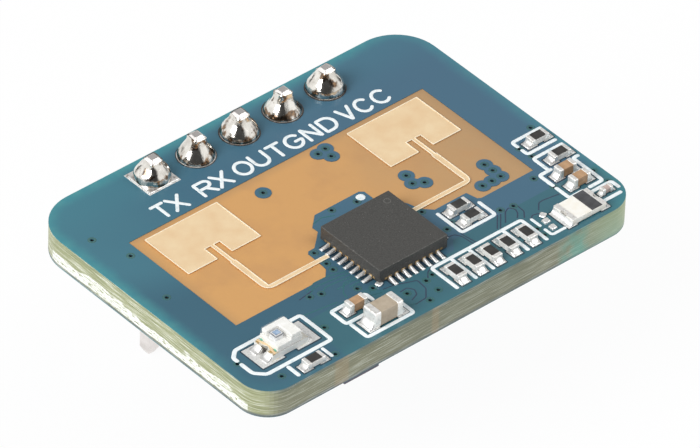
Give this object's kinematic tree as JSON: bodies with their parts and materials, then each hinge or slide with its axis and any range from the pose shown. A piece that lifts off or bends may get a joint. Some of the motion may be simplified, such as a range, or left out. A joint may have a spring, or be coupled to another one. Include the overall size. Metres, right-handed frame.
{
  "type": "microwave radar sensor module",
  "caption": "Small presence sensor board with two patch aerials, a radar chip, a light sensor and a straight pin header soldered from below.",
  "frame": {"origin": "the middle pin's axis, on the plane of the plastic strip's underside, where the module seats on its host board", "axes": "+X along the pin row towards the supply pin, +Y towards the board edge beside the header, +Z out of the board's aerial side"},
  "size_m": [0.022, 0.016, 0.0113],
  "materials": {
    "glass_epoxy_laminate": "sawn glass-fibre epoxy, satin on its faces and rough on its cut edge",
    "solder_mask": "blue photo-imaged solder mask, smooth and glossy",
    "gold_plated_copper": "pale matt gold over copper foil",
    "tinned_copper": "tinned copper, bright",
    "copper_plating": "plated copper inside the vias",
    "legend_ink": "white printed ink, matt",
    "header_plastic": "black glass-filled plastic, moulded",
    "pin_metal": "drawn brass wire, tinned",
    "solder": "reflowed tin solder, bright",
    "chip_mould": "moulded epoxy, fine matt grain",
    "white_resin": "white resin board, matt",
    "clear_resin": "clear cast resin",
    "sensor_die": "polished semiconductor",
    "cream_ceramic": "fired cream ceramic, satin",
    "dark_glaze": "printed dark grey glaze",
    "end_metal": "tin-plated ends, satin",
    "white_alumina": "white alumina ceramic",
    "black_glaze": "black overglaze, satin",
    "tan_ceramic": "fired tan ceramic, satin",
    "dark_ceramic": "dark fired ceramic",
    "lid_metal": "plated metal lid"
  },
  "bodies": {
    "root": {"laminate": "glass_epoxy_laminate", "front_solder_mask": "solder_mask", "rear_solder_mask": "solder_mask", "transmit_aerial": "gold_plated_copper", "receive_aerial": "gold_plated_copper", "front_pads": "tinned_copper", "rear_pads": "tinned_copper", "via_barrels": "copper_plating", "header_hole_barrels": "tinned_copper", "front_legend": "legend_ink", "header_strip": "header_plastic", "pin_tx": "pin_metal", "pin_rx": "pin_metal", "pin_out": "pin_metal", "pin_ground": "pin_metal", "pin_supply": "pin_metal", "solder_joint_tx": "solder", "solder_joint_rx": "solder", "solder_joint_out": "solder", "solder_joint_ground": "solder", "solder_joint_supply": "solder", "radar_chip_body": "chip_mould", "radar_chip_leads": "gold_plated_copper", "radar_chip_paddle": "gold_plated_copper", "radar_chip_solder": "solder", "light_sensor_base": "white_resin", "light_sensor_terminals": "gold_plated_copper", "light_sensor_window": "clear_resin", "light_sensor_die": "sensor_die", "light_sensor_solder": "solder", "chip_aerial_body": "cream_ceramic", "chip_aerial_stripe": "dark_glaze", "chip_aerial_terminals": "end_metal", "chip_aerial_solder": "solder", "resistor_cores": "white_alumina", "resistor_coats": "black_glaze", "resistor_terminals": "end_metal", "capacitor_cores": "tan_ceramic", "capacitor_terminals": "end_metal", "passive_solder": "solder", "controller_body": "chip_mould", "controller_leads": "gold_plated_copper", "controller_paddle": "gold_plated_copper", "controller_solder": "solder", "crystal_case": "dark_ceramic", "crystal_lid": "lid_metal", "crystal_solder": "solder", "regulator_body": "chip_mould", "regulator_leads": "end_metal", "regulator_solder": "solder", "rear_resistor_cores": "white_alumina", "rear_resistor_coats": "black_glaze", "rear_resistor_terminals": "end_metal", "rear_capacitor_cores": "tan_ceramic", "rear_capacitor_terminals": "end_metal", "rear_passive_solder": "solder"}
  },
  "joints": []
}
